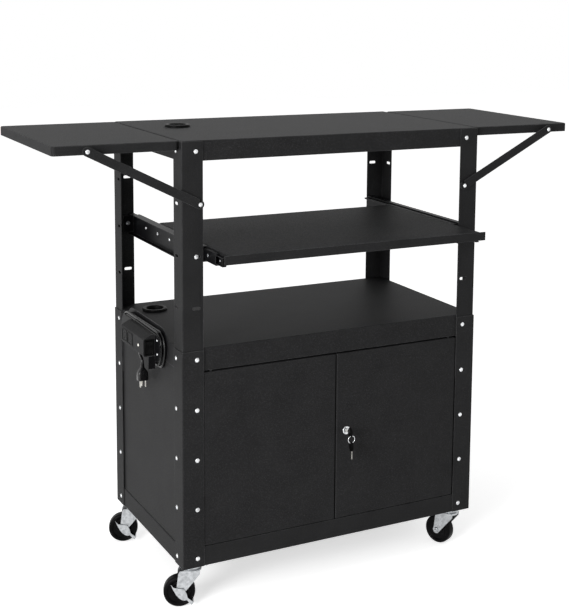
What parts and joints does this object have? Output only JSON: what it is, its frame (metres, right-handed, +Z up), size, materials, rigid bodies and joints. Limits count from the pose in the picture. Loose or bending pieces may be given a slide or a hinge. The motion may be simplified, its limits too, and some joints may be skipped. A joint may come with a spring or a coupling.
{
  "type": "audio visual cart",
  "caption": "Steel audio visual cart on castors with drop leaves, a pull-out shelf, a locking cabinet and a side power strip with its cord wound up.",
  "frame": {"origin": "on the floor, under the middle of the corner posts, measured with the pull-out shelf drawn out as it rests", "axes": "+X to the right when facing the doors, +Y to the back, +Z up"},
  "size_m": [1.315, 0.5821, 1.073],
  "materials": {
    "black_steel": "satin black powder coat with a fine grain",
    "black_slide": "smooth black plated steel",
    "zinc": "bright zinc plate",
    "chrome": "polished",
    "black_plastic": "fine matt",
    "black_rubber": "matt"
  },
  "bodies": {
    "frame": {"upper_post_FL": "black_steel", "upper_post_FR": "black_steel", "upper_post_RL": "black_steel", "upper_post_RR": "black_steel", "lower_post_FL": "black_steel", "lower_post_FR": "black_steel", "lower_post_RL": "black_steel", "lower_post_RR": "black_steel", "top_shelf": "black_steel", "cabinet_shelf": "black_steel", "cabinet_floor": "black_steel", "grommet_top": "black_plastic", "grommet_shelf": "black_plastic", "side_panel_left": "black_steel", "side_panel_right": "black_steel", "back_panel": "black_steel", "door_catch": "black_plastic", "leaf_hinge_fixed_left": "black_slide", "leaf_hinge_fixed_right": "black_slide", "rail_bracket_left": "black_steel", "rail_bracket_right": "black_steel", "slide_fixed_left": "black_slide", "slide_fixed_right": "black_slide", "castor_plate_FL": "zinc", "castor_plate_FR": "zinc", "castor_plate_RL": "zinc", "castor_plate_RR": "zinc", "strip_winder": "black_steel", "strip_housing": "black_steel", "cord_winding": "black_rubber", "cord_lead": "black_rubber", "mains_plug": "black_rubber"},
    "leaf_left": {"leaf_left": "black_steel", "leaf_hinge_moving_left": "black_slide"},
    "leaf_right": {"leaf_right": "black_steel", "leaf_hinge_moving_right": "black_slide"},
    "strut_left": {"strut_left": "black_steel"},
    "strut_right": {"strut_right": "black_steel"},
    "pull_shelf": {"pull_shelf": "black_steel", "slide_runner_left": "black_slide", "slide_runner_right": "black_slide"},
    "door_left": {"door_left": "black_steel"},
    "door_right": {"door_right": "black_steel", "lock_barrel": "chrome"},
    "lock_key": {"lock_plug": "chrome", "key": "black_plastic"},
    "key_ring": {"key_ring": "chrome"},
    "spare_key": {"spare_key": "zinc"},
    "castor_fork_FL": {"castor_fork_FL": "zinc"},
    "castor_fork_FR": {"castor_fork_FR": "zinc"},
    "castor_fork_RL": {"castor_fork_RL": "zinc"},
    "castor_fork_RR": {"castor_fork_RR": "zinc"},
    "castor_wheel_FL": {"castor_wheel_FL": "black_rubber"},
    "castor_wheel_FR": {"castor_wheel_FR": "black_rubber"},
    "castor_wheel_RL": {"castor_wheel_RL": "black_rubber"},
    "castor_wheel_RR": {"castor_wheel_RR": "black_rubber"},
    "castor_brake_FL": {"castor_brake_FL": "zinc"},
    "castor_brake_RL": {"castor_brake_RL": "zinc"},
    "strip_rocker": {"strip_rocker": "black_plastic"}
  },
  "joints": [
    {"name": "leaf_left_drop", "type": "hinge", "parent": "frame", "child": "leaf_left", "pos_m": [-0.38095, 0, 1.0425], "axis": [0, -1, 0], "range_deg": [0, 90]},
    {"name": "leaf_right_drop", "type": "hinge", "parent": "frame", "child": "leaf_right", "pos_m": [0.38095, 0, 1.0425], "axis": [0, 1, 0], "range_deg": [0, 90]},
    {"name": "strut_left_swing", "type": "hinge", "parent": "leaf_left", "child": "strut_left", "pos_m": [-0.588, -0.2265, 1.055], "axis": [0, 1, 0], "range_deg": [0, 153]},
    {"name": "strut_right_swing", "type": "hinge", "parent": "leaf_right", "child": "strut_right", "pos_m": [0.588, -0.2265, 1.055], "axis": [0, -1, 0], "range_deg": [0, 153]},
    {"name": "shelf_slide", "type": "slide", "parent": "frame", "child": "pull_shelf", "axis": [0, -1, 0], "range_m": [-0.116, 0.184]},
    {"name": "door_left_hinge", "type": "hinge", "parent": "frame", "child": "door_left", "pos_m": [-0.3125, -0.2219, 0.35], "axis": [0, 0, -1], "range_deg": [0, 120]},
    {"name": "door_right_hinge", "type": "hinge", "parent": "frame", "child": "door_right", "pos_m": [0.3125, -0.2219, 0.35], "axis": [0, 0, 1], "range_deg": [0, 120]},
    {"name": "lock_turn", "type": "hinge", "parent": "door_right", "child": "lock_key", "pos_m": [0.0275, -0.23, 0.363], "axis": [0, 1, 0], "range_deg": [0, 90]},
    {"name": "key_ring_swing", "type": "hinge", "parent": "lock_key", "child": "key_ring", "pos_m": [0.0275, -0.256, 0.3566], "axis": [-1, 0, 0], "range_deg": [-8, 40]},
    {"name": "spare_key_swing", "type": "hinge", "parent": "key_ring", "child": "spare_key", "pos_m": [0.0275, -0.256, 0.3396], "axis": [-1, 0, 0], "range_deg": [-6, 40]},
    {"name": "swivel_FL", "type": "hinge", "parent": "frame", "child": "castor_fork_FL", "pos_m": [-0.348, -0.196, 0.09], "axis": [0, 0, 1], "continuous": true},
    {"name": "swivel_FR", "type": "hinge", "parent": "frame", "child": "castor_fork_FR", "pos_m": [0.348, -0.196, 0.09], "axis": [0, 0, 1], "continuous": true},
    {"name": "swivel_RL", "type": "hinge", "parent": "frame", "child": "castor_fork_RL", "pos_m": [-0.348, 0.196, 0.09], "axis": [0, 0, 1], "continuous": true},
    {"name": "swivel_RR", "type": "hinge", "parent": "frame", "child": "castor_fork_RR", "pos_m": [0.348, 0.196, 0.09], "axis": [0, 0, 1], "continuous": true},
    {"name": "roll_FL", "type": "hinge", "parent": "castor_fork_FL", "child": "castor_wheel_FL", "pos_m": [-0.37572, -0.18591, 0.036], "axis": [0.342, 0.9397, 0], "continuous": true},
    {"name": "roll_FR", "type": "hinge", "parent": "castor_fork_FR", "child": "castor_wheel_FR", "pos_m": [0.336, -0.16905, 0.036], "axis": [0.9135, 0.4067, 0], "continuous": true},
    {"name": "roll_RL", "type": "hinge", "parent": "castor_fork_RL", "child": "castor_wheel_RL", "pos_m": [-0.37572, 0.20609, 0.036], "axis": [0.342, 0.9397, 0], "continuous": true},
    {"name": "roll_RR", "type": "hinge", "parent": "castor_fork_RR", "child": "castor_wheel_RR", "pos_m": [0.32245, 0.21075, 0.036], "axis": [0.5, 0.866, 0], "continuous": true},
    {"name": "brake_FL_press", "type": "hinge", "parent": "castor_fork_FL", "child": "castor_brake_FL", "pos_m": [-0.37619, -0.18574, 0.03], "axis": [-0.342, -0.9397, 0], "range_deg": [0, 9]},
    {"name": "brake_RL_press", "type": "hinge", "parent": "castor_fork_RL", "child": "castor_brake_RL", "pos_m": [-0.37619, 0.20626, 0.03], "axis": [-0.342, -0.9397, 0], "range_deg": [0, 9]},
    {"name": "rocker_press", "type": "hinge", "parent": "frame", "child": "strip_rocker", "pos_m": [-0.4112, -0.094, 0.585], "axis": [-1, 0, 0], "range_deg": [0, 13]}
  ],
  "couplings": [
    {"joint": "strut_left_swing", "follows": "leaf_left_drop", "ratio": 1.6977},
    {"joint": "strut_right_swing", "follows": "leaf_right_drop", "ratio": 1.6977}
  ]
}
